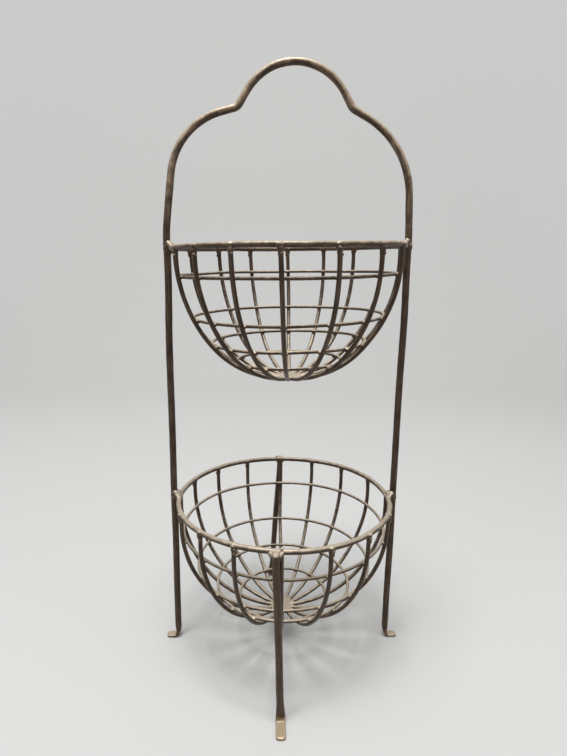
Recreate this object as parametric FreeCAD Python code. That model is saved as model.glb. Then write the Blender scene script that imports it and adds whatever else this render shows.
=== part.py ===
import FreeCAD, Part
import math
import os

Vector = FreeCAD.Vector

# Two-tier wire basket stand, all welded iron. Millimetres, +Z up, front towards -Y.
# The origin is on the floor, under the middle of the four feet.

# Wire and rod sizes
rod_diameter = 8.0
rim_wire_diameter = 6.0
rib_wire_diameter = 4.8
ring_wire_diameter = 3.6
weld_gap = 0.1
cut_overrun = 4.0

# Baskets: a rim, ribs that go straight down for the wall and then bend, and rings inside the ribs
rim_radius = 127.0
rib_count = 16
hub_spread_share = 1.23
hub_crown = 1.0
hub_edge_radius = 1.5
upper_depth = 148.0
upper_wall = 8.0
upper_lean = 1.35
upper_ring_depth_shares = (0.205, 0.522, 0.725, 0.881)
lower_rim_height = 195.0
lower_depth = 151.0
lower_wall = 15.0
lower_lean = 0.0
lower_ring_depth_shares = (0.234, 0.565, 0.769, 0.906)

# The hand-set ribs stand a little off their even places: shares of the spacing, from the front to the right
upper_rib_shift_shares = (
    -0.19, -0.11, -0.11, -0.22, 0.15, 0.05, 0.08, -0.04,
    -0.07, -0.06, -0.15, -0.13, -0.15, 0.15, 0.0, -0.12,
)
lower_rib_shift_shares = (
    -0.10, -0.07, -0.05, 0.0, 0.15, 0.19, 0.20, 0.14,
    0.05, 0.04, -0.01, -0.07, -0.15, 0.0, -0.02, -0.10,
)

# Handle: a round arch that runs through two notches into the shoulders, and rises above the upper rim
overall_height = 683.5
handle_rise = 190.5
arch_radius = 60.0
arch_half_sweep = 59.0
arch_offset = 5.5
arch_flank = 18.0
notch_bend_radius = 10.0
left_shoulder_drop = 17.5
right_shoulder_drop = 33.0
shoulder_bend_share = 0.74

# Above the upper rim the uprights lean in, each from a slight knee
knee_rise = 14.0
knee_bend_share = 0.7
left_shoulder_inset = 14.0
right_shoulder_inset = 6.0

# Legs, which stand a little left of the middle, and toes hammered flat at the end of each rod
front_leg_top_shift = 11.0
front_leg_foot_shift = 4.0
rear_leg_top_shift = 3.5
rear_leg_foot_shift = 14.0
ankle_bend_radius = 7.0
toe_root_length = 1.5
side_toe_length = 14.5
leg_toe_length = 24.0
toe_width = 11.0
toe_thickness = 3.2
toe_edge_radius = 1.0
toe_taper_share = 0.7
toe_tip_share = 0.9

# Weld beads, as shares of the thicker wire at the joint
ring_bead_share = 1.3
rim_bead_share = 1.5
rod_bead_share = 1.7

# Sizes that follow from the ones above
rod_radius = rod_diameter / 2
rim_wire_radius = rim_wire_diameter / 2
rib_radius = rib_wire_diameter / 2
ring_wire_radius = ring_wire_diameter / 2
rim_outer_radius = rim_radius + rim_wire_radius
upper_rim_height = overall_height - handle_rise
rod_circle_radius = rim_outer_radius + weld_gap + rod_radius
cage_radius = rim_outer_radius - rib_radius
rib_spacing = 360.0 / rib_count
hub_radius = hub_spread_share * rib_count * rib_wire_diameter / (2 * math.pi)
ring_bead_radius = ring_bead_share * rib_radius
rim_bead_radius = rim_bead_share * rim_wire_radius
rod_bead_radius = rod_bead_share * rod_radius
UP = Vector(0, 0, 1)
FRONT = Vector(0, -1, 0)


def direction(first, second):
    """Unit vector from one point to another."""
    return (second - first).normalize()


def tube(path, radius):
    """Round bar of a radius, swept along a wire that starts with a straight run."""
    start = path.OrderedVertexes[0].Point
    along = path.OrderedEdges[0].tangentAt(path.OrderedEdges[0].FirstParameter)
    section = Part.Wire(Part.Circle(start, along, radius).toShape())
    return path.makePipeShell([section], True, False)


def bent_path(corners, bend_radii):
    """Straight runs between corner points, with a tangent arc at each inner corner."""
    edges = []
    start = corners[0]
    for before, corner, after, radius in zip(corners, corners[1:], corners[2:], bend_radii):
        incoming = direction(before, corner)
        outgoing = direction(corner, after)
        half_turn = incoming.getAngle(outgoing) / 2
        reach = radius * math.tan(half_turn)
        entry = corner - incoming * reach
        leave = corner + outgoing * reach
        inward = (outgoing - incoming).normalize()
        middle = corner + inward * (radius / math.cos(half_turn) - radius)
        edges.append(Part.LineSegment(start, entry).toShape())
        edges.append(Part.Arc(entry, middle, leave).toShape())
        start = leave
    edges.append(Part.LineSegment(start, corners[-1]).toShape())
    return Part.Wire(edges)


def wire_room(point, along, radius, length):
    """Straight room for a wire through a point, with the weld gap round it."""
    base = point - along * (length / 2)
    return Part.makeCylinder(radius + weld_gap, length, base, along)


def bead(centre, across, radius, rooms):
    """Ball of weld metal with room for the wires that it joins, its poles on the line from wire to wire."""
    pieces = Part.makeSphere(radius, centre, across).cut(rooms).Solids
    return max(pieces, key=lambda piece: piece.Volume)


def toe(ankle, outward, length):
    """Flat toe from the ankle corner of a rod, with the forged slope down to it."""
    across = UP.cross(outward)
    half_width = toe_width / 2
    nose = length - half_width
    heel = rod_radius
    floor_point = Vector(ankle.x, ankle.y, 0)
    corners = [
        floor_point + outward * heel - across * half_width,
        floor_point + outward * nose - across * half_width,
        floor_point + outward * length,
        floor_point + outward * nose + across * half_width,
        floor_point + outward * heel + across * half_width,
    ]
    outline = Part.Wire([
        Part.LineSegment(corners[0], corners[1]).toShape(),
        Part.Arc(corners[1], corners[2], corners[3]).toShape(),
        Part.LineSegment(corners[3], corners[4]).toShape(),
        Part.LineSegment(corners[4], corners[0]).toShape(),
    ])
    pad = Part.Face(outline).extrude(UP * toe_thickness)
    top_edges = [e for e in pad.Edges if e.BoundBox.ZMin > toe_thickness / 2]
    pad = pad.makeFillet(toe_edge_radius, top_edges)
    root = ankle_bend_radius + toe_root_length
    tip = root + toe_taper_share * (length - root)
    tip_height = toe_thickness / 2
    sections = [
        Part.Wire(Part.Circle(ankle + outward * root, outward, rod_radius).toShape()),
        Part.Wire(Part.Circle(floor_point + outward * tip + UP * tip_height, outward,
                              toe_tip_share * tip_height).toShape()),
    ]
    slope = Part.makeLoft(sections, True, True)
    return [pad, slope]


def frame_hoop():
    """The one rod that is foot, upright, handle, upright and foot."""
    arch_centre_height = overall_height - rod_radius - arch_radius
    sweep = math.radians(arch_half_sweep)
    apex = Vector(arch_offset, 0, arch_centre_height + arch_radius / math.cos(sweep))
    notch_reach = arch_radius * math.sin(sweep) + arch_flank * math.cos(sweep)
    notch_height = arch_centre_height + arch_radius * math.cos(sweep) - arch_flank * math.sin(sweep)
    toe_root = ankle_bend_radius + toe_root_length
    corners = []
    radii = []
    toes = []
    for side, drop, inset in (
        (-1, left_shoulder_drop, left_shoulder_inset),
        (1, right_shoulder_drop, right_shoulder_inset),
    ):
        outward = Vector(side, 0, 0)
        ankle = outward * rod_circle_radius + UP * rod_radius
        knee = outward * rod_circle_radius + UP * (upper_rim_height + knee_rise)
        shoulder = outward * (rod_circle_radius - inset) + UP * (notch_height - drop)
        notch = outward * notch_reach + Vector(arch_offset, 0, notch_height)
        knee_turn = direction(ankle, knee).getAngle(direction(knee, shoulder))
        knee_bend = knee_bend_share * knee_rise / math.tan(knee_turn / 2)
        turn = direction(knee, shoulder).getAngle(direction(shoulder, notch))
        shoulder_bend = shoulder_bend_share * shoulder.distanceToPoint(notch) / math.tan(turn / 2)
        corners.append([ankle + outward * toe_root, ankle, knee, shoulder, notch])
        radii.append([ankle_bend_radius, knee_bend, shoulder_bend, notch_bend_radius])
        toes += toe(ankle, outward, side_toe_length)
    path = bent_path(corners[0] + [apex] + corners[1][::-1], radii[0] + [arch_radius] + radii[1][::-1])
    return tube(path, rod_radius).fuse(toes).removeSplitter()


def leg(outward, top_shift, foot_shift):
    """Short leg outside the lower rim: its solid, the room for its top, and the top point of its axis."""
    away = math.sqrt(rod_circle_radius ** 2 - top_shift ** 2) * outward.y
    top = Vector(-top_shift, away, lower_rim_height)
    ankle = Vector(-foot_shift, away, rod_radius)
    toe_length = rod_circle_radius + leg_toe_length - abs(away)
    toe_root = ankle_bend_radius + toe_root_length
    path = bent_path([top, ankle, ankle + outward * toe_root], [ankle_bend_radius])
    solid = tube(path, rod_radius).fuse(toe(ankle, outward, toe_length)).removeSplitter()
    along = direction(top, ankle)
    room = Part.makeCylinder(rod_radius + weld_gap, rod_bead_radius * 2, top - along * weld_gap, along)
    return solid, room, top


class Basket:
    """One basket: its sizes, and its pieces in the frame of the whole stand."""

    def __init__(self, name, rim_height, depth, wall, lean, ring_depth_shares, rib_shift_shares):
        self.name = name
        self.depth = depth
        self.wall = wall
        self.ring_drops = [share * depth for share in ring_depth_shares]
        self.rib_angles = [(i + shift) * rib_spacing - 90 for i, shift in enumerate(rib_shift_shares)]
        self.place = FreeCAD.Placement(Vector(0, 0, rim_height), FreeCAD.Rotation(Vector(0, -1, 0), lean))
        half = math.sin(math.pi / 4)
        bowl = depth - wall
        self.side_bend = ((1 + half) * bowl - half * cage_radius) / (2 * half * half)
        self.floor_bend = ((1 + half) * cage_radius - half * bowl) / (2 * half * half)
        self.bend_drop = wall + self.side_bend * half

    def rib_point(self, drop):
        """Point on a rib's axis at a drop below the rim, and the outward normal there, in the XZ plane."""
        if drop <= self.bend_drop:
            angle = math.asin(max(drop - self.wall, 0) / self.side_bend)
            reach = cage_radius - self.side_bend * (1 - math.cos(angle))
        else:
            angle = math.asin((drop - self.depth + self.floor_bend) / self.floor_bend)
            reach = self.floor_bend * math.cos(angle)
        return Vector(reach, 0, -drop), Vector(math.cos(angle), 0, -math.sin(angle))

    def floor_drop(self, reach):
        """Drop of a rib's axis where it is a reach away from the middle of the floor."""
        return self.depth - self.floor_bend + math.sqrt(self.floor_bend ** 2 - reach ** 2)

    def spun(self, shape, angle):
        """Copy of a shape turned to a rib's angle, in the leaning basket."""
        copy = shape.copy()
        copy.rotate(Vector(0, 0, 0), UP, angle)
        copy.Placement = self.place.multiply(copy.Placement)
        return copy

    def rim(self, clearance):
        """The heavy wire ring at the top, or the room for it with a clearance round it."""
        wire = Part.makeTorus(rim_radius, rim_wire_radius + clearance)
        wire.Placement = self.place
        return wire

    def rim_contact(self, axis_point):
        """Point on the outside of the rim, on the way out to a rod's axis."""
        away = Vector(axis_point.x, axis_point.y, 0).normalize()
        return self.place.multVec(away * rim_outer_radius)

    def ring(self, drop):
        """A thin ring against the inside of the ribs, and its seat: the rib's axis and the ring's."""
        axis, normal = self.rib_point(drop)
        return axis, normal, axis - normal * (rib_radius + weld_gap + ring_wire_radius)

    def rings(self):
        """The thin rings, from the top down."""
        solids = []
        for drop in self.ring_drops:
            _, _, centre = self.ring(drop)
            wire = Part.makeTorus(centre.x, ring_wire_radius, Vector(0, 0, centre.z), UP)
            wire.Placement = self.place.multiply(wire.Placement)
            solids.append(wire)
        return solids

    def ring_welds(self):
        """Beads at every crossing of a rib and a ring."""
        beads = []
        for drop in self.ring_drops:
            axis, normal, centre = self.ring(drop)
            along = normal.cross(Vector(0, 1, 0))
            rooms = [
                wire_room(axis, along, rib_radius, ring_bead_radius * 4),
                Part.makeTorus(centre.x, ring_wire_radius + weld_gap, Vector(0, 0, centre.z), UP),
            ]
            ball = bead(axis - normal * rib_radius, normal, ring_bead_radius, rooms)
            beads += [self.spun(ball, angle) for angle in self.rib_angles]
        return beads

    def ribs(self):
        """Bent ribs from under the rim to the hub."""
        top = Vector(cage_radius, 0, -rim_wire_radius - weld_gap)
        start, _ = self.rib_point(self.wall)
        middle_side, _ = self.rib_point(self.wall + self.side_bend * math.sin(math.pi / 8))
        bend, _ = self.rib_point(self.bend_drop)
        floor_angle = (math.pi / 4 + math.acos(hub_radius / (2 * self.floor_bend))) / 2
        middle_floor, _ = self.rib_point(self.depth - self.floor_bend * (1 - math.sin(floor_angle)))
        end, _ = self.rib_point(self.floor_drop(hub_radius / 2))
        path = Part.Wire([
            Part.LineSegment(top, start).toShape(),
            Part.Arc(start, middle_side, bend).toShape(),
            Part.Arc(bend, middle_floor, end).toShape(),
        ])
        hub_room = Part.makeCylinder(hub_radius + weld_gap, self.depth + cut_overrun, Vector(0, 0, 0), -UP)
        blank = tube(path, rib_radius).cut(hub_room).Solids[0]
        return [self.spun(blank, angle) for angle in self.rib_angles]

    def rib_top(self, angle):
        """Where the axis of the rib at an angle comes up under the rim."""
        outward = FreeCAD.Rotation(UP, angle).multVec(Vector(1, 0, 0))
        return self.place.multVec(outward * cage_radius - UP * rim_wire_radius)

    def rim_welds(self, rod_contacts):
        """Beads at the rib tops, apart from those that a rod's own bead takes in."""
        top = Vector(cage_radius, 0, -rim_wire_radius)
        rooms = [
            wire_room(top, UP, rib_radius, rim_bead_radius * 4),
            Part.makeTorus(rim_radius, rim_wire_radius + weld_gap),
        ]
        ball = bead(top, UP, rim_bead_radius, rooms)
        beads = []
        for angle in self.rib_angles:
            room = min(self.rib_top(angle).distanceToPoint(contact) for contact in rod_contacts)
            if room > rod_bead_radius + rim_bead_radius:
                beads.append(self.spun(ball, angle))
        return beads

    def rod_weld(self, contact, rod_room):
        """Bead between the rim and a rod outside it, with room for any rib that ends there."""
        up = self.place.Rotation.multVec(UP)
        rooms = [rod_room, self.rim(weld_gap)]
        for angle in self.rib_angles:
            top = self.rib_top(angle)
            if top.distanceToPoint(contact) < rod_bead_radius + rim_bead_radius:
                rooms.append(wire_room(top, up, rib_radius, rod_bead_radius * 4))
        return bead(contact, Vector(contact.x, contact.y, 0), rod_bead_radius, rooms)

    def hub(self):
        """Mound of weld metal where the ribs meet."""
        middle = self.floor_drop(hub_radius)
        half = rib_radius + hub_crown
        disc = Part.makeCylinder(hub_radius, half * 2, Vector(0, 0, -middle - half), UP)
        rounded = [e for e in disc.Edges if len(e.Vertexes) == 1]
        mound = disc.makeFillet(hub_edge_radius, rounded)
        mound.Placement = self.place.multiply(mound.Placement)
        return mound


def build():
    """All nodes by name."""
    upper = Basket("upper", upper_rim_height, upper_depth, upper_wall, upper_lean,
                   upper_ring_depth_shares, upper_rib_shift_shares)
    lower = Basket("lower", lower_rim_height, lower_depth, lower_wall, lower_lean,
                   lower_ring_depth_shares, lower_rib_shift_shares)
    nodes = {"frame_hoop": frame_hoop()}
    legs = {
        "front_leg": (FRONT, front_leg_top_shift, front_leg_foot_shift),
        "rear_leg": (-FRONT, rear_leg_top_shift, rear_leg_foot_shift),
    }
    leg_welds = []
    leg_contacts = []
    for name, (outward, top_shift, foot_shift) in legs.items():
        nodes[name], room, axis_point = leg(outward, top_shift, foot_shift)
        contact = lower.rim_contact(axis_point)
        leg_contacts.append(contact)
        leg_welds.append(lower.rod_weld(contact, room))
    frame_welds = []
    for basket, more_contacts in ((upper, []), (lower, leg_contacts)):
        contacts = []
        for side in (-1, 1):
            axis_point = Vector(side * rod_circle_radius, 0, 0)
            contact = basket.rim_contact(axis_point)
            room = wire_room(axis_point + UP * contact.z, UP, rod_radius, rod_bead_radius * 4)
            frame_welds.append(basket.rod_weld(contact, room))
            contacts.append(contact)
        nodes[basket.name + "_rim"] = basket.rim(0)
        for number, solid in enumerate(basket.rings(), 2):
            nodes["%s_ring_%d" % (basket.name, number)] = solid
        for number, solid in enumerate(basket.ribs(), 1):
            nodes["%s_rib_%02d" % (basket.name, number)] = solid
        nodes[basket.name + "_hub"] = basket.hub()
        nodes[basket.name + "_rim_welds"] = Part.makeCompound(basket.rim_welds(contacts + more_contacts))
        nodes[basket.name + "_ring_welds"] = Part.makeCompound(basket.ring_welds())
    nodes["frame_welds"] = Part.makeCompound(frame_welds)
    nodes["leg_welds"] = Part.makeCompound(leg_welds)
    return nodes


os.makedirs("parts", exist_ok=True)
for node, shape in build().items():
    state = "valid" if shape.isValid() else "not valid"
    print(node, len(shape.Solids), "solids", round(shape.Volume), "mm3", state)
    shape.exportStep("parts/%s.step" % node)
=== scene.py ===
import logging
import math
from dataclasses import dataclass, field
from enum import Enum
from typing import Any, Callable, List, Mapping, Optional, Sequence, Tuple, Union

import bmesh
import bpy
from mathutils import Matrix, Vector, noise


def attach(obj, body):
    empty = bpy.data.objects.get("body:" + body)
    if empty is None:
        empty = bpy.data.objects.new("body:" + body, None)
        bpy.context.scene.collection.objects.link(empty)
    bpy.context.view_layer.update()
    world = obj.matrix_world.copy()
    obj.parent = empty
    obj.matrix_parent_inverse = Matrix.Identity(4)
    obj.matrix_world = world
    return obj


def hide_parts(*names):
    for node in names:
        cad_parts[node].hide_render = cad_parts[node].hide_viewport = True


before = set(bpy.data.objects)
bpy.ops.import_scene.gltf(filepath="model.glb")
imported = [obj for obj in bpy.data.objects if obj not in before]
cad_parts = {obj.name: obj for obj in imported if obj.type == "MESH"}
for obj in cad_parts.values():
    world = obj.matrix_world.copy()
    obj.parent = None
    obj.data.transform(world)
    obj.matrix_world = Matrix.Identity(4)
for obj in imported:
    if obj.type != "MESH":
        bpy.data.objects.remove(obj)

LOG = logging.getLogger("basket_stand")
BODY = "root"
UP = Vector((0.0, 0.0, 1.0))
DRAWN = "drawn_place"
HAND_SEED = 12
APART = 40.0
BENDS_MEET = math.pi / 4.0

Colour = Tuple[float, float, float, float]
Triple = Tuple[float, float, float]
Span = Tuple[float, float]


class Tier(Enum):
    """The two baskets."""

    UPPER = "upper"
    LOWER = "lower"


class Side(Enum):
    """The two sides of the frame, as signs of X."""

    LEFT = -1
    RIGHT = 1


class LegPlace(Enum):
    """The two short legs, as signs of Y."""

    FRONT = -1
    REAR = 1


def eased(value: float, low: float, high: float) -> float:
    """Smooth step of a value.

    Args:
        value: The number to place between the limits.
        low: Where the step starts, at 0.
        high: Where the step ends, at 1.

    Returns:
        A number from 0 to 1.
    """
    share = min(max((value - low) / (high - low), 0.0), 1.0)
    return share * share * (3.0 - 2.0 * share)


def blended(first: float, second: float, share: float) -> float:
    """Number that lies a share of the way from the first to the second."""
    return first + (second - first) * share


def scaled(radius: float, shares: Span) -> Span:
    """Two radii as shares of a wire's radius."""
    return shares[0] * radius, shares[1] * radius


def varied(seed: Triple, first: float, second: float, third: float = 1.0) -> float:
    """Number from about -1 to 1 that is always the same for the same seed and numbers."""
    return noise.noise(Vector((seed[0] * first, seed[1] * second, seed[2] * third)))


def heading(angle: float) -> Vector:
    """Level direction at an angle."""
    return Vector((math.cos(angle), math.sin(angle), 0.0))


def across(outward: Vector) -> Vector:
    """Level direction square to an outward one, to its left."""
    return Vector((-outward.y, outward.x, 0.0))


class Shade:
    """A shader socket that takes part in Python expressions."""

    def __init__(self, net: "Net", socket: bpy.types.NodeSocket) -> None:
        """Keeps the socket and the net that new Math nodes go into."""
        self.net = net
        self.socket = socket

    def _math(self, operation: str, first: "Value", second: "Value") -> "Shade":
        """Math node on two values.

        Args:
            operation: The Math node's operation.
            first: Its first value.
            second: Its second value.

        Returns:
            The node's output.
        """
        return self.net.out("ShaderNodeMath", {"operation": operation}, {0: first, 1: second})

    def __add__(self, other: "Value") -> "Shade":
        """Sum."""
        return self._math("ADD", self, other)

    def __radd__(self, other: "Value") -> "Shade":
        """Reflected sum."""
        return self._math("ADD", other, self)

    def __sub__(self, other: "Value") -> "Shade":
        """Difference."""
        return self._math("SUBTRACT", self, other)

    def __rsub__(self, other: "Value") -> "Shade":
        """Reflected difference."""
        return self._math("SUBTRACT", other, self)

    def __mul__(self, other: "Value") -> "Shade":
        """Product."""
        return self._math("MULTIPLY", self, other)

    def __rmul__(self, other: "Value") -> "Shade":
        """Reflected product."""
        return self._math("MULTIPLY", other, self)


Value = Union[Shade, float]


class Net:
    """The node tree of a material or of the world, with one way to add any node."""

    def __init__(self, tree: bpy.types.NodeTree) -> None:
        """Empties the tree, so that only the nodes made here are in it."""
        self.tree = tree
        tree.nodes.clear()

    def node(self, kind: str, settings: Optional[Mapping[str, Any]] = None,
             sockets: Optional[Mapping[Union[str, int], Any]] = None) -> bpy.types.Node:
        """Adds a node.

        Args:
            kind: The node's type.
            settings: Its properties, set first.
            sockets: Values or Shades for its inputs, by name or number.

        Returns:
            The node.
        """
        made = self.tree.nodes.new(kind)
        for name, value in (settings or {}).items():
            setattr(made, name, value)
        for key, value in (sockets or {}).items():
            if isinstance(value, Shade):
                self.tree.links.new(value.socket, made.inputs[key])
            else:
                made.inputs[key].default_value = value
        return made

    def out(self, kind: str, settings: Optional[Mapping[str, Any]] = None,
            sockets: Optional[Mapping[Union[str, int], Any]] = None, output: Union[str, int] = 0) -> Shade:
        """Adds a node and gives one of its outputs.

        Args:
            kind: The node's type.
            settings: Its properties, set first.
            sockets: Values or Shades for its inputs, by name or number.
            output: The output's name or number.

        Returns:
            The output.
        """
        return Shade(self, self.node(kind, settings, sockets).outputs[output])

    def speckle(self, place: Shade, scale: float, detail: float = 3.0, roughness: float = 0.55) -> Shade:
        """Noise from 0 to 1.

        Args:
            place: The coordinates.
            scale: Spots per metre, about.
            detail: Octaves.
            roughness: How strong the fine octaves are.

        Returns:
            The noise's factor.
        """
        return self.out("ShaderNodeTexNoise", None,
                        {"Vector": place, "Scale": scale, "Detail": detail, "Roughness": roughness})

    def step(self, value: Shade, span: Span) -> Shade:
        """Smooth step of a value, from 0 at the span's start to 1 at its end."""
        return self.out("ShaderNodeMapRange", {"interpolation_type": "SMOOTHSTEP"},
                        {"Value": value, "From Min": span[0], "From Max": span[1]})

    def seen(self) -> Shade:
        """Tells rays that end up in the picture from light that falls on the object.

        Returns:
            1 for rays from the camera, straight or by way of a mirror or glass, and 0 for the rest.
        """
        path = self.node("ShaderNodeLightPath")
        camera, glossy, clear = (Shade(self, path.outputs["Is %s Ray" % kind])
                                 for kind in ("Camera", "Glossy", "Transmission"))
        return camera + glossy + clear

    def mix(self, first: Union[Shade, Colour], second: Union[Shade, Colour], share: Value) -> Shade:
        """Colour that lies a share of the way from the first to the second."""
        return self.out("ShaderNodeMix", {"data_type": "RGBA"}, {0: share, 6: first, 7: second}, 2)


@dataclass(frozen=True)
class IronFinish:
    """Dark brown lacquer on iron, streaked, with rust flecks and pale specks.

    The upper faces are painted pale and partly metallic: a painted highlight of light from above, with
    rubbing wear added on the handle. The handle's upper and side faces are a lighter brown, lacquer wearing
    thin and painted light in one. The toes have a trace of rust. A scale is in spots per metre, a span says
    where a step starts and ends, a share says how strongly a layer covers, and a ragged value says how far
    noise moves the edge of a pale or thin place.
    """

    name: str
    dark: Colour = (0.022, 0.0125, 0.0080, 1.0)
    brown: Colour = (0.056, 0.032, 0.0195, 1.0)
    rust: Colour = (0.165, 0.062, 0.022, 1.0)
    streak: Colour = (0.145, 0.096, 0.062, 1.0)
    # Lighter brown on the handle: lacquer wearing thin, and painted light on its upper and side faces.
    thin: Colour = (0.340, 0.235, 0.160, 1.0)
    # Pale colour of the upper faces: a painted highlight of light from above, partly rubbing wear on the
    # handle.
    highlight_and_rubbed: Colour = (0.700, 0.600, 0.465, 1.0)
    toe_rust: Colour = (0.500, 0.340, 0.150, 1.0)
    speck: Colour = (0.300, 0.255, 0.200, 1.0)
    gleam: Colour = (1.0, 0.90, 0.76, 1.0)
    mottle_scale: float = 46.0
    grain_scale: float = 620.0
    patch_scale: float = 115.0
    dust_scale: float = 1150.0
    streak_scale: float = 420.0
    streak_squeeze: float = 0.09
    dent_scale: float = 190.0
    mottle_span: Span = (0.34, 0.66)
    streak_span: Span = (0.46, 0.66)
    fleck_span: Span = (0.56, 0.68)
    fleck_patch_span: Span = (0.46, 0.62)
    speck_span: Span = (0.66, 0.74)
    speck_mottle_span: Span = (0.42, 0.60)
    thin_and_lit_span: Span = (-0.75, 0.35)
    highlight_and_rubbed_span: Span = (0.12, 1.05)
    handle_span: Span = (0.46, 0.62)
    toe_span: Span = (0.003, 0.012)
    toe_patch_span: Span = (0.42, 0.60)
    fleck_share: float = 0.50
    speck_share: float = 0.55
    streak_share: float = 0.45
    thin_and_lit_share: float = 0.80
    highlight_and_rubbed_share: float = 0.84
    toe_share: float = 0.50
    highlight_and_rubbed_metal: float = 0.38
    handle_wear: float = 0.30
    ragged_patches: float = 0.9
    ragged_grain: float = 0.5
    ragged_thin_patches: float = 1.2
    ragged_thin_streaks: float = 0.5
    gloss: float = 0.28
    dull: float = 0.20
    fleck_dull: float = 0.15
    highlight_and_rubbed_dull: float = 0.06
    specular: float = 0.34
    dent_depth: float = 0.00035
    dent_strength: float = 0.8
    grain_depth: float = 0.00010
    grain_strength: float = 0.7

    def material(self) -> bpy.types.Material:
        """Makes the material.

        Returns:
            The material, all in nodes.
        """
        made = bpy.data.materials.new(self.name)
        made.use_nodes = True
        net = Net(made.node_tree)
        place = net.out("ShaderNodeTexCoord", output="Object")
        cloud = net.speckle(place, self.mottle_scale, detail=5.0, roughness=0.62)
        fine = net.speckle(place, self.grain_scale)
        patches = net.speckle(place, self.patch_scale, detail=4.0, roughness=0.6)
        dust = net.speckle(place, self.dust_scale, detail=2.0)
        straight = net.out("ShaderNodeAttribute", {"attribute_name": DRAWN}, None, "Vector")
        squeeze = (1.0, 1.0, self.streak_squeeze)
        drawn = net.out("ShaderNodeMapping", None, {"Vector": straight, "Scale": squeeze})
        lines = net.speckle(drawn, self.streak_scale, detail=4.0, roughness=0.6)
        streaks = net.step(lines, self.streak_span)
        normal = net.out("ShaderNodeNewGeometry", output="Normal")
        facing = net.out("ShaderNodeSeparateXYZ", None, {0: normal}, "Z")
        height = net.out("ShaderNodeSeparateXYZ", None, {0: place}, "Z")
        flecks = net.step(fine, self.fleck_span) * net.step(patches, self.fleck_patch_span)
        specks = net.step(dust, self.speck_span) * net.step(cloud, self.speck_mottle_span)
        handled = net.step(height, self.handle_span)
        ragged = (patches - 0.5) * self.ragged_patches + (fine - 0.5) * self.ragged_grain
        # Painted highlight: faces that point up turn pale, as if lit from above; the handle adds rubbing
        # wear.
        highlight_and_rubbed = net.step(facing + handled * self.handle_wear + ragged, self.highlight_and_rubbed_span)
        # Handle's lighter brown: lacquer wearing thin, and painted light that leaves out the faces pointing
        # down.
        thin_and_lit_edge = (patches - 0.5) * self.ragged_thin_patches + (streaks - 0.5) * self.ragged_thin_streaks
        grip_wear_and_lit = handled * net.step(facing + thin_and_lit_edge, self.thin_and_lit_span)
        low = (1.0 - net.step(height, self.toe_span)) * net.step(patches, self.toe_patch_span)
        tone = net.mix(self.dark, self.brown, net.step(cloud, self.mottle_span))
        streaked = net.mix(tone, self.streak, streaks * self.streak_share)
        grip_worn_and_lit = net.mix(streaked, self.thin, grip_wear_and_lit * self.thin_and_lit_share)
        rusty = net.mix(grip_worn_and_lit, self.rust, flecks * self.fleck_share)
        specked = net.mix(rusty, self.speck, specks * self.speck_share)
        # Lays the painted highlight and the handle's rubbing wear over the lacquer.
        highlighted_and_worn = net.mix(specked, self.highlight_and_rubbed, highlight_and_rubbed * self.highlight_and_rubbed_share)
        stained = net.mix(highlighted_and_worn, self.toe_rust, low * self.toe_share)
        dullness = self.gloss + cloud * self.dull + flecks * self.fleck_dull + highlight_and_rubbed * self.highlight_and_rubbed_dull
        dents = net.out("ShaderNodeBump", None, {
            "Strength": self.dent_strength, "Distance": self.dent_depth,
            "Height": net.speckle(place, self.dent_scale, detail=2.0)})
        skin = net.out("ShaderNodeBump", None, {
            "Strength": self.grain_strength, "Distance": self.grain_depth, "Height": fine, "Normal": dents})
        surface = net.out("ShaderNodeBsdfPrincipled", None, {
            "Base Color": stained, "Roughness": dullness, "Metallic": highlight_and_rubbed * self.highlight_and_rubbed_metal,
            "Normal": skin, "Specular IOR Level": self.specular, "Specular Tint": self.gleam})
        net.node("ShaderNodeOutputMaterial", None, {"Surface": surface})
        return made


@dataclass(frozen=True)
class FloorFinish:
    """Plain pale matt floor that fades into the background far away from the stand."""

    name: str = "pale_floor"
    colour: Colour = (0.74, 0.74, 0.73, 1.0)
    far: Colour = (0.60, 0.60, 0.595, 1.0)
    fade_span: Span = (0.9, 3.2)
    roughness: float = 0.7
    specular: float = 0.2

    def material(self) -> bpy.types.Material:
        """Makes the material.

        Returns:
            The material, all in nodes.
        """
        made = bpy.data.materials.new(self.name)
        made.use_nodes = True
        net = Net(made.node_tree)
        surface = net.out("ShaderNodeBsdfPrincipled", None,
                          {"Base Color": self.colour, "Roughness": self.roughness,
                           "Specular IOR Level": self.specular})
        place = net.out("ShaderNodeNewGeometry", output="Position")
        away = net.out("ShaderNodeVectorMath", {"operation": "LENGTH"}, {0: place}, "Value")
        faded = net.step(away, self.fade_span) * net.seen()
        glow = net.out("ShaderNodeEmission", None, {"Color": self.far, "Strength": 1.0})
        blend = net.out("ShaderNodeMixShader", None, {0: faded, 1: surface, 2: glow})
        net.node("ShaderNodeOutputMaterial", None, {"Surface": blend})
        return made


@dataclass(frozen=True)
class HandWork:
    """Unevenness of hand-bent wire. It is fixed in space, so wires that touch stay in touch."""

    sway: float = 0.0011
    sway_length: float = 0.085
    swell: float = 0.045
    swell_length: float = 0.017
    calm_height: float = 0.030
    sway_seed: Triple = (3.1, 7.7, 1.3)
    swell_seed: Triple = (11.0, 5.0, 2.0)

    def moved(self, point: Vector) -> Vector:
        """Where a point of the true shape ends up.

        Args:
            point: The point in the true shape.

        Returns:
            The point in the hand-made shape, the same at the floor.
        """
        calm = eased(point.z, 0.0, self.calm_height)
        way = noise.noise_vector(point / self.sway_length + Vector(self.sway_seed))
        return point + way * (self.sway * calm)

    def girth(self, point: Vector) -> float:
        """Share of the true thickness that the bar has at a point."""
        return 1.0 + self.swell * noise.noise(point / self.swell_length + Vector(self.swell_seed))


@dataclass
class Station:
    """One cross-section of a bar."""

    point: Vector
    wide: float
    thick: float
    square: float = 2.0


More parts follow.
